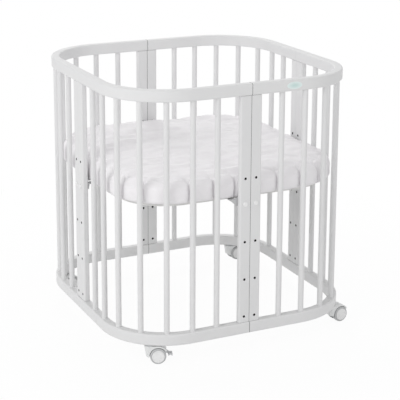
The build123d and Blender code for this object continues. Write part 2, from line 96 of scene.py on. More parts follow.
def add_node(
    tree: bpy.types.NodeTree,
    kind: str,
    settings: dict[str, Any] | None = None,
    inputs: dict[str | int, Any] | None = None,
) -> bpy.types.Node:
    """Add one shader node with its settings, values and links.

    Args:
        tree: Node tree that gets the node.
        kind: Blender's name for the node type.
        settings: Attributes of the node.
        inputs: Input sockets, each with a constant or with the output socket it is linked to.

    Returns:
        The new node.
    """
    node = tree.nodes.new(kind)
    for key, value in (settings or {}).items():
        setattr(node, key, value)
    for key, value in (inputs or {}).items():
        if isinstance(value, bpy.types.NodeSocket):
            tree.links.new(value, node.inputs[key])
        else:
            node.inputs[key].default_value = value
    return node


def blank_material(name: str) -> tuple[bpy.types.Material, bpy.types.NodeTree]:
    """Make a material with an empty node tree.

    Args:
        name: Name of the real material.

    Returns:
        The material and its node tree.
    """
    material = bpy.data.materials.new(name)
    material.use_nodes = True
    tree = material.node_tree
    tree.nodes.clear()
    return material, tree


def scaled_coordinates(
    tree: bpy.types.NodeTree,
    size: tuple[float, float, float],
) -> bpy.types.NodeSocket:
    """Object coordinates stretched for a pattern.

    Args:
        tree: Node tree of the material.
        size: Length of one repeat of the pattern along X, Y and Z, in metres.

    Returns:
        The vector socket of the stretched coordinates.
    """
    place = add_node(tree, "ShaderNodeTexCoord")
    mapping = add_node(
        tree,
        "ShaderNodeMapping",
        inputs={"Vector": place.outputs["Object"], "Scale": [1 / length for length in size]},
    )
    return mapping.outputs["Vector"]


def clouded(
    tree: bpy.types.NodeTree,
    size: tuple[float, float, float],
    colours: tuple[str, str],
    detail: float = 2.0,
) -> bpy.types.NodeSocket:
    """Mix two colours of a material in soft clouds.

    Args:
        tree: Node tree of the material.
        size: Length of a cloud along X, Y and Z, in metres.
        colours: The two colours, each as "#RRGGBB".
        detail: How finely the clouds are broken up.

    Returns:
        The colour socket of the mix.
    """
    clouds = add_node(
        tree,
        "ShaderNodeTexNoise",
        inputs={"Vector": scaled_coordinates(tree, size), "Scale": 1.0, "Detail": detail},
    )
    tint = add_node(
        tree,
        "ShaderNodeMix",
        {"data_type": "RGBA"},
        {"Factor": clouds.outputs["Fac"], 6: linear(colours[0]), 7: linear(colours[1])},
    )
    return tint.outputs[2]


def seen_rays(tree: bpy.types.NodeTree) -> bpy.types.NodeSocket:
    """Tell the rays that show a surface, straight or mirrored, from those that carry its light.

    Args:
        tree: Node tree of the floor or the backdrop.

    Returns:
        1 for a ray that shows it, 0 for one that lights with it.
    """
    rays = add_node(tree, "ShaderNodeLightPath")
    mirrored = add_node(
        tree,
        "ShaderNodeMath",
        {"operation": "MAXIMUM"},
        {0: rays.outputs["Is Glossy Ray"], 1: rays.outputs["Is Transmission Ray"]},
    )
    seen = add_node(
        tree,
        "ShaderNodeMath",
        {"operation": "MAXIMUM"},
        {0: rays.outputs["Is Camera Ray"], 1: mirrored.outputs[0]},
    )
    return seen.outputs[0]


def finish_surface(tree: bpy.types.NodeTree, shader: bpy.types.NodeSocket) -> None:
    """Link a shader to the material's output.

    Args:
        tree: Node tree of the material.
        shader: Output socket of the shader.
    """
    add_node(tree, "ShaderNodeOutputMaterial", inputs={"Surface": shader})


class Grain(Enum):
    """Which way the wood under the lacquer runs: length of a fleck along X, Y and Z.

    Flecks are drawn coarser than those of real beech, so that they show.
    """

    UPRIGHT = (2.381 * MM, 2.381 * MM, 111.1 * MM)
    LEVEL = (33.33 * MM, 33.33 * MM, 2.381 * MM)
    PANEL = (125.0 * MM, 6.25 * MM, 6.25 * MM)


@dataclass(frozen=True)
class Boards:
    """Heights of the post boards' ends and places of their bolt holes."""

    bottom: float
    top: float
    hole_offset: float  # from the seam of a post
    first_hole: float
    hole_pitch: float
    top_hole: float

    @classmethod
    def from_frame(cls, record: dict[str, Any]) -> Boards:
        """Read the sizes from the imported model.

        Args:
            record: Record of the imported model.

        Returns:
            The boards' sizes.
        """
        low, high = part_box("front_post_left_board")
        mounts = {mount["name"]: mount for mount in record["mounts"]}
        low_holes = mounts["front_low_holes"]
        pitch = low_holes["dims"]["spacing_y_mm"] * MM / 2
        return cls(
            bottom=low.z,
            top=high.z,
            hole_offset=low_holes["dims"]["spacing_x_mm"] * MM / 2,
            first_hole=low_holes["pos_m"][2] - pitch,
            hole_pitch=pitch,
            top_hole=mounts["front_top_row_holes"]["pos_m"][2],
        )


@dataclass(frozen=True)
class Lacquer:
    """White satin lacquer on wood, with painted shade in its seams, joints and bolt holes where these are
    given.
    """

    name: str
    colour: str
    shade: str
    grain: Grain
    roughness: float = 0.46
    sheen: float = 0.2
    seam_half_width: float = 0.0  # 0 leaves out all painted shade in the gaps
    boards: Boards | None = None  # given for the boards, which have holes and joints
    hole_radius: float = 3.9 * MM
    joint_height: float = 0.8 * MM  # of the painted shade line where a board meets a rail
    # near black: painted shade for the seams, joints and bolt holes
    painted_shade_colour: str = "#181818"
    seam_shade_share: float = 0.8
    joint_shade_share: float = 0.7
    patch_size: float = 166.7 * MM
    grain_gloss: tuple[float, float] = (-0.05, 0.07)  # change of roughness in the grain's dips and rises

    def painted_gap_shade(self, tree: bpy.types.NodeTree, colour: bpy.types.NodeSocket) -> bpy.types.NodeSocket:
        """Paint shade onto the walls of the front and back seams, of the joints and of the bolt holes,
        where little light gets in.

        Args:
            tree: Node tree of the material.
            colour: Colour of the lacquer.

        Returns:
            Colour with the painted shade in it.
        """
        place = add_node(
            tree, "ShaderNodeSeparateXYZ", inputs={0: scaled_coordinates(tree, IN_METRES)}
        )
        beside = add_node(tree, "ShaderNodeMath", {"operation": "ABSOLUTE"}, {0: place.outputs["X"]})
        gap = add_node(
            tree,
            "ShaderNodeMath",
            {"operation": "LESS_THAN"},
            {0: beside.outputs[0], 1: self.seam_half_width},
        )
        seam = add_node(
            tree, "ShaderNodeMath", {"operation": "MULTIPLY"}, {0: gap.outputs[0], 1: self.seam_shade_share}
        )
        mask = seam.outputs[0]
        if self.boards:
            holes = self.hole_shade_mask(tree, place, self.boards)
            joints = self.joint_shade_mask(tree, place, self.boards)
            for other in (holes, joints):
                darker = add_node(tree, "ShaderNodeMath", {"operation": "MAXIMUM"}, {0: mask, 1: other})
                mask = darker.outputs[0]
        mixed = add_node(
            tree,
            "ShaderNodeMix",
            {"data_type": "RGBA"},
            {0: mask, 6: colour, 7: linear(self.painted_shade_colour)},
        )
        return mixed.outputs[2]

    def hole_shade_mask(
        self, tree: bpy.types.NodeTree, place: bpy.types.Node, boards: Boards
    ) -> bpy.types.NodeSocket:
        """Find the walls of the bolt holes in the boards, which are painted near black for the shade in
        them.

        Args:
            tree: Node tree of the material.
            place: Node that gives X, Y and Z.
            boards: Sizes of the boards.

        Returns:
            1 in the holes, 0 elsewhere.
        """
        beside_x, beside_y = (
            add_node(tree, "ShaderNodeMath", {"operation": "ABSOLUTE"}, {0: place.outputs[axis]}).outputs[0]
            for axis in ("X", "Y")
        )
        across = add_node(tree, "ShaderNodeMath", {"operation": "MINIMUM"}, {0: beside_x, 1: beside_y})
        beside = add_node(
            tree, "ShaderNodeMath", {"operation": "SUBTRACT"}, {0: across.outputs[0], 1: boards.hole_offset}
        )
        raised = add_node(
            tree,
            "ShaderNodeMath",
            {"operation": "SUBTRACT"},
            {0: place.outputs["Z"], 1: boards.first_hole - boards.hole_pitch / 2},
        )
        within = add_node(
            tree, "ShaderNodeMath", {"operation": "MODULO"}, {0: raised.outputs[0], 1: boards.hole_pitch}
        )
        over_row = add_node(
            tree,
            "ShaderNodeMath",
            {"operation": "SUBTRACT"},
            {0: within.outputs[0], 1: boards.hole_pitch / 2},
        )
        over_top = add_node(
            tree, "ShaderNodeMath", {"operation": "SUBTRACT"}, {0: place.outputs["Z"], 1: boards.top_hole}
        )
        below = add_node(
            tree,
            "ShaderNodeMath",
            {"operation": "LESS_THAN"},
            {0: place.outputs["Z"], 1: boards.top_hole - boards.hole_pitch / 3},
        )
        over = add_node(
            tree,
            "ShaderNodeMix",
            {"data_type": "FLOAT"},
            {0: below.outputs[0], 2: over_top.outputs[0], 3: over_row.outputs[0]},
        )
        spot = add_node(tree, "ShaderNodeCombineXYZ", inputs={0: beside.outputs[0], 1: over.outputs[0]})
        far = add_node(tree, "ShaderNodeVectorMath", {"operation": "LENGTH"}, {0: spot.outputs[0]})
        hole = add_node(
            tree,
            "ShaderNodeMath",
            {"operation": "LESS_THAN"},
            {0: far.outputs["Value"], 1: self.hole_radius},
        )
        return hole.outputs[0]

    def joint_shade_mask(
        self, tree: bpy.types.NodeTree, place: bpy.types.Node, boards: Boards
    ) -> bpy.types.NodeSocket:
        """Find the thin lines of painted shade at the boards' ends, where they meet the rails.

        Args:
            tree: Node tree of the material.
            place: Node that gives X, Y and Z.
            boards: Sizes of the boards.

        Returns:
            A share of the painted shade at the ends, 0 elsewhere.
        """
        middle = (boards.bottom + boards.top) / 2
        reach = (boards.top - boards.bottom) / 2 - self.joint_height
        off = add_node(
            tree, "ShaderNodeMath", {"operation": "SUBTRACT"}, {0: place.outputs["Z"], 1: middle}
        )
        far = add_node(tree, "ShaderNodeMath", {"operation": "ABSOLUTE"}, {0: off.outputs[0]})
        end = add_node(
            tree, "ShaderNodeMath", {"operation": "GREATER_THAN"}, {0: far.outputs[0], 1: reach}
        )
        share = add_node(
            tree, "ShaderNodeMath", {"operation": "MULTIPLY"}, {0: end.outputs[0], 1: self.joint_shade_share}
        )
        return share.outputs[0]

    def build(self) -> bpy.types.Material:
        """Make the material: a soft satin sheen, the wood's grain just felt under the lacquer, and painted
        shade in any gaps.

        Returns:
            The material.
        """
        material, tree = blank_material(self.name)
        grain = add_node(
            tree,
            "ShaderNodeTexNoise",
            inputs={
                "Vector": scaled_coordinates(tree, self.grain.value),
                "Scale": 1.0,
                "Detail": 4.0,
                "Roughness": 0.6,
            },
        )
        colour = clouded(tree, (self.patch_size,) * 3, (self.colour, self.shade))
        # painted shade in the seams, joints and bolt holes
        if self.seam_half_width:
            colour = self.painted_gap_shade(tree, colour)
        gloss = add_node(
            tree,
            "ShaderNodeMapRange",
            inputs={
                "Value": grain.outputs["Fac"],
                "To Min": self.roughness + self.grain_gloss[0],
                "To Max": self.roughness + self.grain_gloss[1],
            },
        )
        bump = add_node(
            tree,
            "ShaderNodeBump",
            inputs={"Height": grain.outputs["Fac"], "Strength": 0.06, "Distance": 0.3 * MM},
        )
        shader = add_node(
            tree,
            "ShaderNodeBsdfPrincipled",
            inputs={
                "Base Color": colour,
                "Roughness": gloss.outputs["Result"],
                "Specular IOR Level": self.sheen,
                "Normal": bump.outputs["Normal"],
            },
        )
        finish_surface(tree, shader.outputs["BSDF"])
        return material


@dataclass(frozen=True)
class BareBeech:
    """Unlacquered beech of the dowels."""

    name: str = "steamed beech"
    pale: str = "#D9B48A"
    dark: str = "#B98A5C"
    fleck_size: tuple[float, float, float] = (1.429 * MM, 1.429 * MM, 16.67 * MM)

    def build(self) -> bpy.types.Material:
        """Make the material: warm brown wood with fine darker flecks.

        Returns:
            The material.
        """
        material, tree = blank_material(self.name)
        flecked = clouded(tree, self.fleck_size, (self.pale, self.dark), detail=3.0)
        shader = add_node(
            tree,
            "ShaderNodeBsdfPrincipled",
            inputs={"Base Color": flecked, "Roughness": 0.6},
        )
        finish_surface(tree, shader.outputs["BSDF"])
        return material


@dataclass(frozen=True)
class Plastic:
    """Moulded plastic with a fine spark-eroded skin."""

    name: str
    colour: str
    shade: str
    roughness: float = 0.4
    skin_size: float = 0.7143 * MM  # drawn coarse, as the real skin is too fine to show
    cloud_size: float = 16.67 * MM

    def build(self) -> bpy.types.Material:
        """Make the material: an even colour with a fine matt skin that breaks the highlights.

        Returns:
            The material.
        """
        material, tree = blank_material(self.name)
        skin = add_node(
            tree,
            "ShaderNodeTexNoise",
            inputs={
                "Vector": scaled_coordinates(tree, (self.skin_size,) * 3),
                "Scale": 1.0,
                "Detail": 2.0,
            },
        )
        bump = add_node(
            tree,
            "ShaderNodeBump",
            inputs={"Height": skin.outputs["Fac"], "Strength": 0.12, "Distance": 0.1 * MM},
        )
        shader = add_node(
            tree,
            "ShaderNodeBsdfPrincipled",
            inputs={
                "Base Color": clouded(tree, (self.cloud_size,) * 3, (self.colour, self.shade)),
                "Roughness": self.roughness,
                "Normal": bump.outputs["Normal"],
            },
        )
        finish_surface(tree, shader.outputs["BSDF"])
        return material


@dataclass(frozen=True)
class BadgePlastic:
    """Blank oval plate, moulded in mint plastic with a white rim."""

    name: str = "white and mint plate"
    middle: str = "#CFE6E3"
    rim: str = "#EDF8F7"

    def build(self) -> bpy.types.Material:
        """Make the material: glossy pale mint that turns to white towards the rim.

        Returns:
            The material.
        """
        material, tree = blank_material(self.name)
        low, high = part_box("badge_plate")
        centre = (low + high) / 2
        half = (high - low) / 2
        scale = (1 / half.x, 0.0, 1 / half.z)
        place = add_node(tree, "ShaderNodeTexCoord")
        mapping = add_node(
            tree,
            "ShaderNodeMapping",
            inputs={
                "Vector": place.outputs["Object"],
                "Location": [-middle * times for middle, times in zip(centre, scale)],
                "Scale": scale,
            },
        )
        far = add_node(
            tree, "ShaderNodeVectorMath", {"operation": "LENGTH"}, {0: mapping.outputs["Vector"]}
        )
        share = add_node(
            tree,
            "ShaderNodeMapRange",
            inputs={"Value": far.outputs["Value"], "From Min": 0.2, "From Max": 1.0},
        )
        tint = add_node(
            tree,
            "ShaderNodeMix",
            {"data_type": "RGBA"},
            {0: share.outputs["Result"], 6: linear(self.middle), 7: linear(self.rim)},
        )
        shader = add_node(
            tree,
            "ShaderNodeBsdfPrincipled",
            inputs={"Base Color": tint.outputs[2], "Roughness": 0.3},
        )
        finish_surface(tree, shader.outputs["BSDF"])
        return material


@dataclass(frozen=True)
class Steel:
    """Bright zinc-plated steel of the fittings."""

    name: str = "zinc-plated steel"
    colour: str = "#B9BBBE"
    cloud_size: float = 4.545 * MM

    def build(self) -> bpy.types.Material:
        """Make the material: a cool metal with small cloudy changes of gloss.

        Returns:
            The material.
        """
        material, tree = blank_material(self.name)
        clouds = add_node(
            tree,
            "ShaderNodeTexNoise",
            inputs={
                "Vector": scaled_coordinates(tree, (self.cloud_size,) * 3),
                "Scale": 1.0,
                "Detail": 3.0,
            },
        )
        gloss = add_node(
            tree,
            "ShaderNodeMapRange",
            inputs={"Value": clouds.outputs["Fac"], "To Min": 0.25, "To Max": 0.45},
        )
        shader = add_node(
            tree,
            "ShaderNodeBsdfPrincipled",
            inputs={
                "Base Color": linear(self.colour),
                "Metallic": 1.0,
                "Roughness": gloss.outputs["Result"],
            },
        )
        finish_surface(tree, shader.outputs["BSDF"])
        return material


@dataclass(frozen=True)
class PaintedSteel:
    """Grey powder paint on the brackets."""

    name: str = "grey powder-painted steel"
    colour: str = "#CBCBCC"
    shade: str = "#C2C2C4"
    peel_size: float = 1.1111 * MM
    cloud_size: float = 20.0 * MM

    def build(self) -> bpy.types.Material:
        """Make the material: matt grey paint with the fine orange peel of powder coating.

        Returns:
            The material.
        """
        material, tree = blank_material(self.name)
        peel = add_node(
            tree,
            "ShaderNodeTexVoronoi",
            inputs={"Vector": scaled_coordinates(tree, (self.peel_size,) * 3), "Scale": 1.0},
        )
        bump = add_node(
            tree,
            "ShaderNodeBump",
            inputs={"Height": peel.outputs["Distance"], "Strength": 0.15, "Distance": 0.1 * MM},
        )
        shader = add_node(
            tree,
            "ShaderNodeBsdfPrincipled",
            inputs={
                "Base Color": clouded(tree, (self.cloud_size,) * 3, (self.colour, self.shade)),
                "Roughness": 0.5,
                "Normal": bump.outputs["Normal"],
            },
        )
        finish_surface(tree, shader.outputs["BSDF"])
        return material


@dataclass(frozen=True)
class CoverCloth:
    """Washed white cotton of the mattress cover."""

    name: str = "white cotton cover"
    colour: str = "#FAF9FA"
    shade: str = "#F5F2F5"
    thread_spacing: float = 1.1111 * MM  # drawn coarse, as real threads are too fine to show
    cloud_size: tuple[float, float, float] = (111.1 * MM, 62.5 * MM, 62.5 * MM)
    crinkle_size: tuple[float, float, float] = (35.71 * MM, 11.11 * MM, 16.67 * MM)

    def build(self) -> bpy.types.Material:
        """Make the material: matt white cloth with a faint lilac cast, a fine weave and small crinkles.

        Returns:
            The material.
        """
        material, tree = blank_material(self.name)
        weave = add_node(
            tree,
            "ShaderNodeTexNoise",
            inputs={
                "Vector": scaled_coordinates(tree, (self.thread_spacing,) * 3),
                "Scale": 1.0,
                "Detail": 2.0,
            },
        )
        crinkles = add_node(
            tree,
            "ShaderNodeTexNoise",
            inputs={
                "Vector": scaled_coordinates(tree, self.crinkle_size),
                "Scale": 1.0,
                "Detail": 3.0,
                "Distortion": 0.6,
            },
        )
        fold_bump = add_node(
            tree,
            "ShaderNodeBump",
            inputs={"Height": crinkles.outputs["Fac"], "Strength": 0.5, "Distance": 3.0 * MM},
        )
        bump = add_node(
            tree,
            "ShaderNodeBump",
            inputs={
                "Height": weave.outputs["Fac"],
                "Strength": 0.2,
                "Distance": 0.3 * MM,
                "Normal": fold_bump.outputs["Normal"],
            },
        )
        shader = add_node(
            tree,
            "ShaderNodeBsdfPrincipled",
            inputs={
                "Base Color": clouded(tree, self.cloud_size, (self.colour, self.shade), detail=3.0),
                "Roughness": 0.8,
                "Sheen Weight": 0.15,
                "Normal": bump.outputs["Normal"],
            },
        )
        finish_surface(tree, shader.outputs["BSDF"])
        return material


@dataclass(frozen=True)
class StudioFloor:
    """Pale paper that the object stands on."""

    name: str = "white studio paper"
    colour: str = "#F6F6F6"
    near_share: float = 0.95  # of plain white, beside the object
    near: float = 0.55  # metres from the middle
    far: float = 1.5

    def build(self) -> bpy.types.Material:
        """Make the material: near white to the camera, with a faint soft shadow left on it.

        Returns:
            The material.
        """
        material, tree = blank_material(self.name)
        paper = add_node(tree, "ShaderNodeBsdfDiffuse", inputs={"Color": linear(self.colour)})
        glow = add_node(
            tree, "ShaderNodeEmission", inputs={"Color": linear(PLAIN_WHITE), "Strength": 1.0}
        )
        distance = add_node(
            tree,
            "ShaderNodeVectorMath",
            settings={"operation": "LENGTH"},
            inputs={0: scaled_coordinates(tree, IN_METRES)},
        )
        fading = add_node(
            tree,
            "ShaderNodeMapRange",
            inputs={
                "Value": distance.outputs["Value"],
                "From Min": self.near,
                "From Max": self.far,
                "To Min": self.near_share,
                "To Max": 1.0,
            },
        )
        share = add_node(
            tree,
            "ShaderNodeMath",
            settings={"operation": "MULTIPLY"},
            inputs={0: seen_rays(tree), 1: fading.outputs["Result"]},
        )
        mixed = add_node(
            tree,
            "ShaderNodeMixShader",
            inputs={0: share.outputs[0], 1: paper.outputs[0], 2: glow.outputs[0]},
        )
        finish_surface(tree, mixed.outputs[0])
        return material


class Finishes:
    """Every material of the object, built once, and which node wears which."""

    def __init__(self, record: dict[str, Any]) -> None:
        """Build the materials.

        Args:
            record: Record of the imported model.
        """
        white, shade = "#E9E9E9", "#E5E5E6"
        # The rails get painted shade in their front and back seams.
        self.rail = Lacquer(
            "white lacquered beech rail", white, shade, Grain.LEVEL, seam_half_width=0.7 * MM
        ).build()
        self.slat = Lacquer("white lacquered beech slat", white, shade, Grain.UPRIGHT).build()
        # The boards get painted shade in their seam, at their joints with the rails and in their bolt
        # holes.
        self.board = Lacquer(
            "white lacquered beech board",
            white,
            shade,
            Grain.UPRIGHT,
            seam_half_width=0.6 * MM,
            boards=Boards.from_frame(record),
        ).build()
        self.panel = Lacquer(
            "white lacquered panel", "#E8E8E6", "#E2E2E0", Grain.PANEL, roughness=0.45
        ).build()
        self.beech = BareBeech().build()
        self.steel = Steel().build()
        self.painted = PaintedSteel().build()
        self.white_plastic = Plastic("white nylon", "#EDEEEE", "#E6E7E7").build()
        self.disc_plastic = Plastic("pale nylon", "#F6F6F6", "#F0F0F0").build()
        self.tyre = Plastic(
            "pale grey tyre plastic", "#C9CACB", "#C2C3C4", roughness=0.5
        ).build()
        self.grey_plastic = Plastic("grey nylon", "#D2D3D5", "#C9CACC").build()
        self.badge = BadgePlastic().build()
        self.cover = CoverCloth().build()

    def for_node(self, node: str) -> bpy.types.Material:
        """Choose the material of a CAD node.

        Args:
            node: Name of the node.

        Returns:
            Its material.
        """
        choices: tuple[tuple[str, bpy.types.Material], ...] = (
            ("top_rail", self.rail),
            ("lower_rail", self.rail),
            ("slats", self.slat),
            ("_board", self.board),
            ("badge", self.badge),
            ("bolt_caps", self.disc_plastic),
            ("post_dowels", self.beech),
            ("base_panel", self.panel),
            ("base_battens", self.panel),
            ("base_bracket", self.painted),
            ("castor_hood", self.white_plastic),
            ("castor_wheel", self.tyre),
            ("castor_sleeves", self.grey_plastic),
            ("brake_lever_pin", self.steel),
            ("brake_lever", self.grey_plastic),
            ("mattress", self.cover),
        )
        for part, material in choices:
            if part in node:
                return material
        return self.steel

    def dress(self, nodes: dict[str, bpy.types.Object]) -> None:
        """Give every CAD node its material.

        Args:
            nodes: CAD objects by node name.
        """
        for name, node in nodes.items():
            material = self.for_node(name)
            if not node.material_slots:
                node.data.materials.append(material)
            for slot in node.material_slots:
                slot.material = material
        LOG.info("dressed %d CAD nodes", len(nodes))


def alone(piece: bpy.types.Object) -> None:
    """Make a piece the only selected and the active object.

    Args:
        piece: The piece.
    """
    bpy.ops.object.select_all(action="DESELECT")
    piece.select_set(True)
    bpy.context.view_layer.objects.active = piece


class Pick(Enum):
    """What is picked in a mesh."""

    FACES = "FACE"
    EDGES = "EDGE"


def unpick(piece: bpy.types.Object, kind: Pick) -> None:
    """Deselect every part of a piece's mesh, ready for picking in object mode.

    Args:
        piece: The piece, in object mode.
        kind: What is picked next.
    """
    alone(piece)
    bpy.ops.object.mode_set(mode="EDIT")
    bpy.ops.mesh.select_mode(type=kind.value)
    bpy.ops.mesh.select_all(action="DESELECT")
    bpy.ops.object.mode_set(mode="OBJECT")


def pick_faces(piece: bpy.types.Object, wanted: Callable[[bpy.types.MeshPolygon], bool]) -> None:
    """Select some faces of a piece and leave it in edit mode.

    Args:
        piece: The piece, in object mode.
        wanted: Test that a face has to pass.
    """
    unpick(piece, Pick.FACES)
    for face in piece.data.polygons:
        face.select = wanted(face)
    bpy.ops.object.mode_set(mode="EDIT")


def pick_edges(piece: bpy.types.Object, level: float) -> None:
    """Select the edges of a piece that lie at one height and leave it in edit mode.

    Args:
        piece: The piece, in object mode.
        level: The height.
    """
    unpick(piece, Pick.EDGES)
    heights = [point.co.z for point in piece.data.vertices]
    for edge in piece.data.edges:
        edge.select = all(abs(heights[end] - level) < NEARLY for end in edge.vertices)
    bpy.ops.object.mode_set(mode="EDIT")


def done_editing() -> None:
    """Turn the normals outward and go back to object mode."""
    bpy.ops.mesh.select_all(action="SELECT")
    bpy.ops.mesh.normals_make_consistent(inside=False)
    bpy.ops.object.mode_set(mode="OBJECT")


def extrude(distance: float) -> None:
    """Extrude the selected faces along Z.

    Args:
        distance: How far, in metres.
    """
    bpy.ops.mesh.extrude_region_move(TRANSFORM_OT_translate={"value": (0.0, 0.0, distance)})


@dataclass
class CastorWheels:
    """Twin wheels of the castors: a grey tyre with a pale three-pocket disc."""

    finishes: Finishes
    radius: float = 24.0 * MM
    width: float = 14.5 * MM
    edge_radius: float = 3.0 * MM
    disc_radius: float = 19.3 * MM
    disc_rise: float = 0.8 * MM
    groove_width: float = 0.6 * MM
    groove_depth: float = 1.2 * MM
    bore_radius: float = 3.3 * MM
    bore_depth: float = 11.9 * MM
    pocket_outer: float = 16.0 * MM
    pocket_inner: float = 6.6 * MM
    pocket_depth: float = 0.9 * MM
    pocket_slope: float = 1.0 * MM
    pocket_count: int = 3
    rib_half_angle: float = 18.0  # degrees that a rib takes of the pocket on each side
    segments: int = 72

    def model(self) -> bpy.types.Object:
        """Model one wheel about Z with its disc upward.

        Returns:
            The wheel.
        """
        low = -self.width / 2
        rim_level = self.width / 2 - self.disc_rise
        bpy.ops.mesh.primitive_cylinder_add(
            vertices=self.segments,
            radius=self.radius,
            depth=rim_level - low,
            location=(0.0, 0.0, (rim_level + low) / 2),
        )
        wheel = bpy.context.object
        bpy.ops.object.transform_apply(location=True)
        bpy.ops.object.mode_set(mode="EDIT")
        bpy.ops.mesh.select_mode(type="EDGE")
        bpy.ops.mesh.select_all(action="DESELECT")
        bpy.ops.mesh.edges_select_sharp(sharpness=math.radians(60))
        bpy.ops.mesh.bevel(offset=self.edge_radius, segments=4, affect="EDGES")
        bpy.ops.object.mode_set(mode="OBJECT")
        cap = self.radius - self.edge_radius
        pick_faces(
            wheel, lambda face: face.normal.z > LEVEL_FACE and face.center.z > rim_level - NEARLY
        )
        bpy.ops.mesh.inset(thickness=cap - self.disc_radius)
        extrude(-self.groove_depth)
        bpy.ops.mesh.inset(thickness=self.groove_width)
        extrude(self.groove_depth + self.disc_rise)
        bpy.ops.mesh.inset(thickness=self.disc_radius - self.groove_width - self.pocket_outer)
        bpy.ops.mesh.inset(thickness=self.pocket_outer - self.pocket_inner)
        bpy.ops.object.mode_set(mode="OBJECT")
        self.cut_pockets(wheel)
        pick_faces(wheel, lambda face: face.normal.z < -LEVEL_FACE and face.center.z < low + NEARLY)
        bpy.ops.mesh.inset(thickness=cap - self.bore_radius)
        extrude(self.bore_depth)
        done_editing()
        self.colour(wheel)
        bpy.ops.object.shade_smooth_by_angle(angle=math.radians(32))
        return wheel

    def cut_pockets(self, wheel: bpy.types.Object) -> None:
        """Sink the pockets into the disc, with ribs left between them.

        Args:
            wheel: The wheel, with a ring of faces for the pockets.
        """
        pick_faces(wheel, self.in_pocket)
        bpy.ops.mesh.inset(thickness=self.pocket_slope, use_boundary=True)
        extrude(-self.pocket_depth)
        bpy.ops.object.mode_set(mode="OBJECT")

    def in_pocket(self, face: bpy.types.MeshPolygon) -> bool:
        """Tell whether a face of the disc lies between two ribs.

        Args:
            face: The face.

        Returns:
            Whether it belongs to a pocket.
        """
        share = 360.0 / self.pocket_count
        far = math.hypot(face.center.x, face.center.y)
        turn = math.degrees(math.atan2(face.center.y, face.center.x)) % share
        on_ring = self.pocket_inner < far < self.pocket_outer
        between_ribs = self.rib_half_angle < turn < share - self.rib_half_angle
        return on_ring and between_ribs and face.center.z > self.width / 2 - NEARLY

    def colour(self, wheel: bpy.types.Object) -> None:
        """Give the tyre and the disc their materials.

        Args:
            wheel: The wheel.
        """
        wheel.data.materials.append(self.finishes.tyre)
        wheel.data.materials.append(self.finishes.disc_plastic)
        edge = self.disc_radius - self.groove_width + NEARLY / 2
        for face in wheel.data.polygons:
            far = math.hypot(face.center.x, face.center.y)
            face.material_index = 1 if face.center.z > 0.0 and far < edge else 0

    def place(self, joints: list[dict[str, Any]]) -> None:
        """Copy the wheel to every roll joint.

        Args:
            joints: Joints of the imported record.
        """
        pattern = self.model()
        rolls = [joint for joint in joints if joint["name"].startswith("roll_")]
        for joint in rolls:
            label = joint["name"].removeprefix("roll_")
            outward = Vector(joint["axis"]) * (-1.0 if label.endswith("_left") else 1.0)
            turn = Vector((0.0, 0.0, 1.0)).rotation_difference(outward).to_matrix().to_4x4()
            wheel = pattern.copy()
            wheel.data = pattern.data.copy()
            wheel.name = f"castor_twin_wheel_{label}"
            bpy.context.scene.collection.objects.link(wheel)
            wheel.data.transform(Matrix.Translation(joint["pos_m"]) @ turn)
            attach(wheel, joint["child"])
            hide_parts(f"castor_wheel_{label}")
        bpy.data.objects.remove(pattern)
        LOG.info("modelled %d wheels", len(rolls))


def bell(distance: np.ndarray, width: float) -> np.ndarray:
    """Fade in a smooth bell from 1 at no distance, by way of a third at the width, to nearly 0."""
    return np.exp(-((distance / width) ** 2))


def fade(inside: np.ndarray, reach: float) -> np.ndarray:
    """Fade from 1 at the rim, by way of a third at the reach, to nearly 0 further inside."""
    return np.exp(-inside / reach)


@dataclass(frozen=True)
class Wrinkles:
    """One layer of wrinkles in the loose cover: smooth noise, stretched over two directions."""

    height: float
    along: tuple[float, float]  # repeats per metre of each direction, in the noise's X
    across: tuple[float, float]  # the same in its Y
    start: tuple[float, float, float]  # where in the noise the layer begins
    ridge: float = 0.0  # level of the sharp ridges that the noise is turned into, if any

    def heights(self, first: np.ndarray, second: np.ndarray) -> np.ndarray:
        """Work out the height of the layer at some points.

        Args:
            first: Points' places in the first direction.
            second: Points' places in the second direction.

        Returns:
            Height at each point, in metres.
        """
        noise_x = first * self.along[0] + second * self.along[1] + self.start[0]
        noise_y = first * self.across[0] + second * self.across[1] + self.start[1]
        rise = np.array([noise.noise((*spot, self.start[2])) for spot in zip(noise_x, noise_y)])
        if self.ridge:
            rise = self.ridge - np.abs(rise)
        return rise * self.height


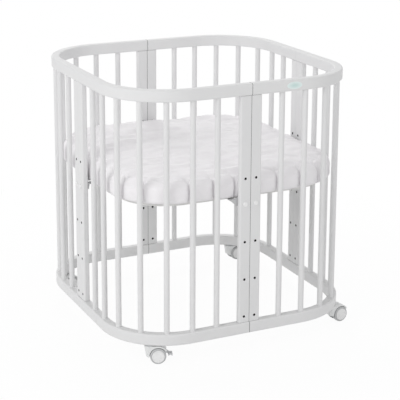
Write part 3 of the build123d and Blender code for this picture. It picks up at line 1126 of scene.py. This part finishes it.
@dataclass(frozen=True)
class Folds:
    """Heights, depths, widths and reaches of the creases and folds that shape the cover.

    The wall swells between the slats, is creased at them and leans in towards the top. On the lid, each
    swelling has a crest and behind it an arched fold, each slat a tuck, and the middle a low crown.
    """

    wall_reach: float = 16.0 * MM
    wall_swell: float = 2.6 * MM
    wall_power: int = 4
    swell_power: int = 5
    wall_lean: float = 9.0 * MM
    crease_depth: float = 11.0 * MM
    crease_width: float = 3.4 * MM
    left_post_loss: float = 0.7  # share of the left post's creases that is gone at the top
    lid_start: float = 0.55  # of the height, where the side turns into the top
    lid_span: float = 0.4
    arch_start: float = 5.0 * MM
    arch_depth: float = 30.0 * MM
    arch_power: float = 0.8
    fold_depth: float = 5.2 * MM
    fold_width: float = 4.5 * MM
    crest_place: float = 0.45  # of the way in to the arched fold
    crest_rise: float = 3.6 * MM
    crest_width: float = 10.0 * MM
    tuck_depth: float = 7.5 * MM
    tuck_width: float = 5.0 * MM
    tuck_reach: float = 26.0 * MM
    crown_rise: float = 1.5 * MM
    crown_reach: float = 45.0 * MM
    rim_drop: float = 6.0 * MM
    rim_reach: float = 12.0 * MM
    high_side_rise: float = 8.0 * MM
    high_side_middle: tuple[float, float] = (-0.12, 0.36)
    high_side_spread: tuple[float, float] = (0.32, 0.36)
    curl_rise: float = 5.0 * MM
    curl_reach: float = 14.0 * MM
    curl_power: float = 1.5
    faintest: float = 0.35  # share of a fold or wrinkle that is left where it fades
    side_wrinkles: Wrinkles = Wrinkles(
        2.2 * MM, along=(30.0, 24.0), across=(0.0, 11.0), start=(0.0, 0.0, 2.0)
    )
    # Long folds, short folds, slanting folds and sharp ridges, which mostly run along X.
    top_wrinkles: tuple[Wrinkles, ...] = (
        Wrinkles(5.4 * MM, along=(5.0, 0.0), across=(0.0, 26.0), start=(3.1, 0.0, 0.0)),
        Wrinkles(4.6 * MM, along=(17.0, 0.0), across=(0.0, 48.0), start=(0.0, 7.7, 4.0)),
        Wrinkles(4.2 * MM, along=(9.0, 12.0), across=(0.0, 10.0), start=(0.0, -2.0, 9.0)),
        Wrinkles(12.5 * MM, along=(7.0, 0.0), across=(3.0, 21.0), start=(-1.3, 0.0, 13.0), ridge=0.3),
    )

    def partly(self, share: np.ndarray) -> np.ndarray:
        """Turn a share from 0 to 1 into one that starts at the faintest."""
        return self.faintest + (1.0 - self.faintest) * share


@dataclass
class Mattress:
    """Foam mattress in a loose white cover that swells between the slats."""

    finishes: Finishes
    half: float = 362.5 * MM
    corner_radius: float = 175.5 * MM
    bottom: float = 476.9 * MM
    top: float = 543.5 * MM
    top_rim: float = 14.0 * MM
    bottom_rim: float = 8.0 * MM
    voxel: float = 5.5 * MM
    bend_centre: float = 187.0 * MM
    bend_radius: float = 195.5 * MM
    first_slat: float = 105.0 * MM
    slats_per_quarter: int = 7
    slat_pitch: float = 78.5 * MM
    post_half: float = 36.0 * MM
    widest: float = 368.3 * MM
    swell_limit: float = 5.0 * MM
    frames: int = 20
    pressure: float = 4.0
    held_depth: float = 6.0 * MM
    held_half_width: float = 3.0 * MM
    held_from_top: float = 4.0 * MM
    held_from_bottom: float = 1.5 * MM
    underside_margin: float = 45.0 * MM
    folds: Folds = Folds()

    @property
    def quarter(self) -> float:
        """Length of a quarter of the rails' centre line."""
        return 2 * self.bend_centre + self.bend_radius * math.pi / 2

    def build(self) -> None:
        """Model the pad, swell and crease it, and dress it."""
        pad = self.model()
        self.inflate(pad)
        finer = pad.modifiers.new("finer mesh", "SUBSURF")
        finer.levels = finer.render_levels = 1
        bpy.ops.object.modifier_apply(modifier=finer.name)
        self.press(pad)
        self.simplify_underside(pad)
        pad.name = "mattress_pad"
        pad.data.materials.append(self.finishes.cover)
        alone(pad)
        bpy.ops.object.shade_smooth()
        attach(pad, "mattress")
        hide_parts("mattress_core", "mattress_cover")
        LOG.info("modelled the mattress with %d faces", len(pad.data.polygons))

    def model(self) -> bpy.types.Object:
        """Model the plain pad: a rounded square with rounded rims, remeshed evenly.

        Returns:
            The pad.
        """
        bpy.ops.mesh.primitive_plane_add(size=2 * self.half, location=(0.0, 0.0, self.bottom))
        pad = bpy.context.object
        bpy.ops.object.transform_apply(location=True)
        bpy.ops.object.mode_set(mode="EDIT")
        bpy.ops.mesh.select_mode(type="VERT")
        bpy.ops.mesh.select_all(action="SELECT")
        share = 100.0 * self.corner_radius / (2 * self.half)
        bpy.ops.mesh.bevel(offset_type="PERCENT", offset_pct=share, segments=24, affect="VERTICES")
        bpy.ops.mesh.select_all(action="SELECT")
        extrude(self.top - self.bottom)
        bpy.ops.object.mode_set(mode="OBJECT")
        for level, rim in ((self.bottom, self.bottom_rim), (self.top, self.top_rim)):
            pick_edges(pad, level)
            bpy.ops.mesh.bevel(offset=rim, segments=6, affect="EDGES")
            bpy.ops.object.mode_set(mode="OBJECT")
        bpy.ops.object.mode_set(mode="EDIT")
        done_editing()
        remesh = pad.modifiers.new("even mesh", "REMESH")
        remesh.mode = "VOXEL"
        remesh.voxel_size = self.voxel
        bpy.ops.object.modifier_apply(modifier=remesh.name)
        return pad

    def points(self, pad: bpy.types.Object) -> np.ndarray:
        """Read the places of a pad's points.

        Args:
            pad: The pad.

        Returns:
            One row of X, Y and Z for each point.
        """
        spots = np.empty(len(pad.data.vertices) * 3)
        pad.data.vertices.foreach_get("co", spots)
        return spots.reshape(-1, 3)

    def move(self, pad: bpy.types.Object, spots: np.ndarray) -> None:
        """Write new places of a pad's points.

        Args:
            pad: The pad.
            spots: One row of X, Y and Z for each point.
        """
        pad.data.vertices.foreach_set("co", spots.ravel())
        pad.data.update()

    def inflate(self, pad: bpy.types.Object) -> None:
        """Blow the cover up with a cloth simulation, held on the panel and at the slats and posts.

        Args:
            pad: The plain pad.
        """
        before = self.points(pad)
        place, depth, _, _ = self.around(before[:, 0], before[:, 1])
        low, high = self.neighbours(place)
        beside = np.minimum(place - low, high - place)
        on_wall = (depth < self.held_depth) & (before[:, 2] < self.top - self.held_from_top)
        on_panel = before[:, 2] < self.bottom + self.held_from_bottom
        kept = on_panel | (on_wall & (beside < self.held_half_width))
        group = pad.vertex_groups.new(name="held")
        group.add([int(number) for number in np.flatnonzero(kept)], 1.0, "REPLACE")
        cloth = pad.modifiers.new("swelling cover", "CLOTH")
        cloth.settings.quality = 4
        cloth.settings.use_pressure = True
        cloth.settings.uniform_pressure_force = self.pressure
        cloth.settings.vertex_group_mass = group.name
        cloth.settings.effector_weights.gravity = 0.0
        cloth.collision_settings.use_collision = False
        cloth.point_cache.frame_start = 1
        cloth.point_cache.frame_end = self.frames
        for frame in range(1, self.frames + 1):
            bpy.context.scene.frame_set(frame)
        alone(pad)
        bpy.ops.object.modifier_apply(modifier=cloth.name)
        bpy.context.scene.frame_set(1)
        moved = self.points(pad) - before
        far = np.linalg.norm(moved, axis=1)
        LOG.info("the cover swells by up to %.1f mm before the cap", far.max() / MM)
        share = np.minimum(1.0, self.swell_limit / np.maximum(far, TINY))
        self.move(pad, before + moved * share[:, None])
        pad.vertex_groups.clear()

    def crease_places(self) -> list[float]:
        """Distances round the pad at which slats and posts press creases into it.

        Returns:
            Distances along the rails' centre line, from the front seam on.
        """
        places: list[float] = []
        for turn in range(4):
            start = turn * self.quarter
            places.append(start + self.post_half)
            for number in range(self.slats_per_quarter):
                places.append(start + self.first_slat + number * self.slat_pitch)
            places.append(start + self.quarter - self.post_half)
        return places

    def neighbours(self, place: np.ndarray) -> tuple[np.ndarray, np.ndarray]:
        """Find the creases on both sides of each point.

        Args:
            place: Points' distances round the outline.

        Returns:
            Distances of the crease before and of the crease after each point.
        """
        round_trip = 4 * self.quarter
        marks = self.crease_places()
        ends = np.array([marks[-1] - round_trip, *marks, marks[0] + round_trip])
        after = np.clip(np.searchsorted(ends, place), 1, len(ends) - 1)
        return ends[after - 1], ends[after]

    def around(
        self, x: np.ndarray, y: np.ndarray
    ) -> tuple[np.ndarray, np.ndarray, np.ndarray, np.ndarray]:
        """Where points lie against the pad's outline.

        Args:
            x: Points' X.
            y: Points' Y.

        Returns:
            Distance round the outline, depth inside it, and the outward direction's X and Y.
        """
        centre, radius = self.bend_centre, self.corner_radius
        over_x = np.abs(x) - centre
        over_y = np.abs(y) - centre
        corner = (over_x > 0) & (over_y > 0)
        far = np.hypot(np.maximum(over_x, 0), np.maximum(over_y, 0))
        depth = radius - far - np.minimum(np.maximum(over_x, over_y), 0)
        out_x = np.where(corner, over_x / np.maximum(far, TINY), (over_x >= over_y) * 1.0) * np.sign(x)
        out_y = np.where(corner, over_y / np.maximum(far, TINY), (over_x < over_y) * 1.0) * np.sign(y)
        side = np.where(
            np.abs(out_y) >= np.abs(out_x), np.where(out_y < 0, 0, 2), np.where(out_x > 0, 1, 3)
        )
        turn = side * math.pi / 2
        along = np.cos(turn) * x + np.sin(turn) * y
        away = np.sin(turn) * x - np.cos(turn) * y
        bent = np.arctan2(np.maximum(np.abs(along) - centre, 0), np.maximum(away - centre, TINY))
        reach = np.minimum(np.abs(along), centre) + np.where(corner, self.bend_radius * bent, 0)
        place = (side * self.quarter + np.sign(along) * reach) % (4 * self.quarter)
        return place, depth, out_x, out_y

    def press(self, pad: bpy.types.Object) -> None:
        """Press narrow creases in at the slats and lay the folds and wrinkles of the loose cover.

        Args:
            pad: The swollen pad.
        """
        folds = self.folds
        spots = self.points(pad)
        x, y, z = spots.T.copy()
        place, depth, out_x, out_y = self.around(x, y)
        low, high = self.neighbours(place)
        share = (place - low) / (high - low)
        beside = np.minimum(place - low, high - place)
        inside = np.maximum(depth, 0)
        level = np.clip((z - self.bottom) / (self.top - self.bottom), 0, 1)
        # The wall
        wall = 1.0 - np.abs(2 * level - 1.0) ** folds.wall_power
        bulge = np.sqrt(1.0 - np.abs(2 * share - 1.0) ** folds.swell_power)
        crease = bell(beside, folds.crease_width) * (1.0 + wall) / 2
        on_left_post = (x < -self.bend_centre) & (np.abs(y) < 2 * self.post_half)
        crease *= np.where(on_left_post, 1.0 - folds.left_post_loss * level, 1.0)
        push = folds.wall_swell * bulge - folds.crease_depth * crease
        push += wall * folds.side_wrinkles.heights(place, z)
        push -= folds.wall_lean * np.clip(2 * level - 1.0, 0, 1) ** 2
        push *= fade(inside, folds.wall_reach)
        x += out_x * push
        y += out_y * push
        # The lid
        lid = np.clip((level - folds.lid_start) / folds.lid_span, 0, 1) ** 2
        arch = folds.arch_start + folds.arch_depth * np.sin(np.pi * share) ** folds.arch_power
        crown = 1.0 - fade(inside, folds.crown_reach)
        rise = folds.crown_rise * crown
        rise += folds.crest_rise * bell(depth - folds.crest_place * arch, folds.crest_width)
        rise -= folds.fold_depth * bell(depth - arch, folds.fold_width) * folds.partly(share)
        rise -= folds.tuck_depth * bell(beside, folds.tuck_width) * fade(inside, folds.tuck_reach)
        rise -= folds.rim_drop * fade(inside, folds.rim_reach)
        middle_x, middle_y = folds.high_side_middle
        spread_x, spread_y = folds.high_side_spread
        rise += folds.high_side_rise * bell(x - middle_x, spread_x) * bell(y - middle_y, spread_y)
        wrinkles = sum(layer.heights(spots[:, 0], spots[:, 1]) for layer in folds.top_wrinkles)
        z += lid * (rise + wrinkles * folds.partly(crown))
        # The lower edge, which curls up at the corners
        corner = np.sin(np.pi * (place % self.quarter) / self.quarter) ** folds.curl_power
        curl = folds.curl_rise * corner * fade(inside, folds.curl_reach)
        z = np.maximum(z, self.bottom) + curl * (1.0 - level)
        spots[:, 0], spots[:, 1] = self.kept_inside(x, y)
        spots[:, 2] = z
        self.move(pad, spots)

    def kept_inside(self, x: np.ndarray, y: np.ndarray) -> tuple[np.ndarray, np.ndarray]:
        """Draw points back that stick out beyond the room between the rails.

        Args:
            x: Points' X.
            y: Points' Y.

        Returns:
            The points' X and Y, kept inside.
        """
        _, depth, out_x, out_y = self.around(x, y)
        over = np.maximum(-(depth + (self.widest - self.half)), 0)
        return x - out_x * over, y - out_y * over

    def simplify_underside(self, pad: bpy.types.Object) -> None:
        """Make one face of the flat underside, which lies on the panel.

        Args:
            pad: The finished pad.
        """
        pick_faces(pad, self.on_panel)
        bpy.ops.mesh.dissolve_faces()
        done_editing()

    def on_panel(self, face: bpy.types.MeshPolygon) -> bool:
        """Tell whether a face looks down and lies well inside the outline.

        Args:
            face: The face.

        Returns:
            Whether it lies on the panel.
        """
        over_x = max(abs(face.center.x) - self.bend_centre, 0.0)
        over_y = max(abs(face.center.y) - self.bend_centre, 0.0)
        reach = self.corner_radius - self.underside_margin
        return face.normal.z < DOWNWARD and math.hypot(over_x, over_y) < reach


@dataclass
class Studio:
    """Camera, lamps, floor and backdrop of the picture; angles are in radians, the lens in millimetres."""

    position: tuple[float, float, float] = (-1.6737, -3.5292, 1.5892)
    yaw: float = 0.4478
    pitch: float = 0.2240
    roll: float = 0.0042
    lens: float = 113.586
    shift_down: float = 0.25436
    world_light: float = 0.635
    floor_size: float = 30.0
    lamp_target: tuple[float, float, float] = (0.0, 0.0, 0.45)

    def build(self) -> None:
        """Set up the whole studio."""
        self.add_camera()
        self.add_world()
        self.add_floor()
        self.add_lamp("key lamp", place=(-4.0, -1.7, 2.6), size=2.4, power=56.0)
        self.add_lamp("back lamp", place=(0.5, 3.0, 2.5), size=1.2, power=36.0, mirrored=False)
        self.add_lamp("front lamp", place=(0.6, -4.6, 0.9), size=1.6, power=12.0)
        self.add_lamp("top lamp", place=(0.4, 0.6, 3.6), size=1.5, power=3.0, mirrored=False)
        view = bpy.context.scene.view_settings
        view.view_transform = "Standard"
        LOG.info("set up the studio")

    def add_camera(self) -> None:
        """Add the camera that was fitted to the photograph."""
        right = Vector((math.cos(self.yaw), -math.sin(self.yaw), 0.0))
        forward = Vector(
            (
                math.sin(self.yaw) * math.cos(self.pitch),
                math.cos(self.yaw) * math.cos(self.pitch),
                -math.sin(self.pitch),
            )
        )
        up = right.cross(forward)
        turned_right = right * math.cos(self.roll) + up * math.sin(self.roll)
        turned_up = up * math.cos(self.roll) - right * math.sin(self.roll)
        data = bpy.data.cameras.new("fitted camera")
        data.sensor_width = 36.0
        data.lens = self.lens
        data.shift_y = -self.shift_down
        camera = bpy.data.objects.new("fitted camera", data)
        bpy.context.scene.collection.objects.link(camera)
        turn = Matrix((turned_right, turned_up, -forward)).transposed().to_4x4()
        camera.matrix_world = Matrix.Translation(self.position) @ turn
        bpy.context.scene.camera = camera

    def add_world(self) -> None:
        """Add a white backdrop that lights the object with less than it shows."""
        world = bpy.data.worlds.new("white studio")
        world.use_nodes = True
        tree = world.node_tree
        tree.nodes.clear()
        strength = add_node(
            tree,
            "ShaderNodeMix",
            settings={"data_type": "FLOAT"},
            inputs={0: seen_rays(tree), 2: self.world_light, 3: 1.0},
        )
        backdrop = add_node(
            tree,
            "ShaderNodeBackground",
            inputs={"Color": linear(PLAIN_WHITE), "Strength": strength.outputs[0]},
        )
        add_node(tree, "ShaderNodeOutputWorld", inputs={"Surface": backdrop.outputs[0]})
        bpy.context.scene.world = world

    def add_floor(self) -> None:
        """Add the pale floor."""
        bpy.ops.mesh.primitive_plane_add(size=self.floor_size, location=(0.0, 0.0, 0.0))
        floor = bpy.context.object
        floor.name = "studio_floor"
        floor.data.materials.append(StudioFloor().build())

    def add_lamp(
        self,
        name: str,
        place: tuple[float, float, float],
        size: float,
        power: float,
        mirrored: bool = True,
    ) -> None:
        """Add a soft square lamp that points at the object's middle.

        Args:
            name: Name of the lamp.
            place: Where it hangs.
            size: Edge length, in metres.
            power: Power, in watts.
            mirrored: Whether glossy surfaces mirror it.
        """
        data = bpy.data.lights.new(name, "AREA")
        data.size = size
        data.energy = power
        lamp = bpy.data.objects.new(name, data)
        bpy.context.scene.collection.objects.link(lamp)
        lamp.location = place
        lamp.visible_glossy = mirrored
        to_object = Vector(self.lamp_target) - Vector(place)
        lamp.rotation_euler = to_object.to_track_quat("-Z", "Y").to_euler()


def main() -> None:
    """Build the looks of the object in order."""
    logging.basicConfig(level=logging.INFO, format="%(name)s: %(message)s")
    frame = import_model()
    finishes = Finishes(frame["record"])
    finishes.dress(frame["nodes"])
    CastorWheels(finishes).place(frame["joints"])
    Mattress(finishes).build()
    Studio().build()


if __name__ == "__main__":
    main()
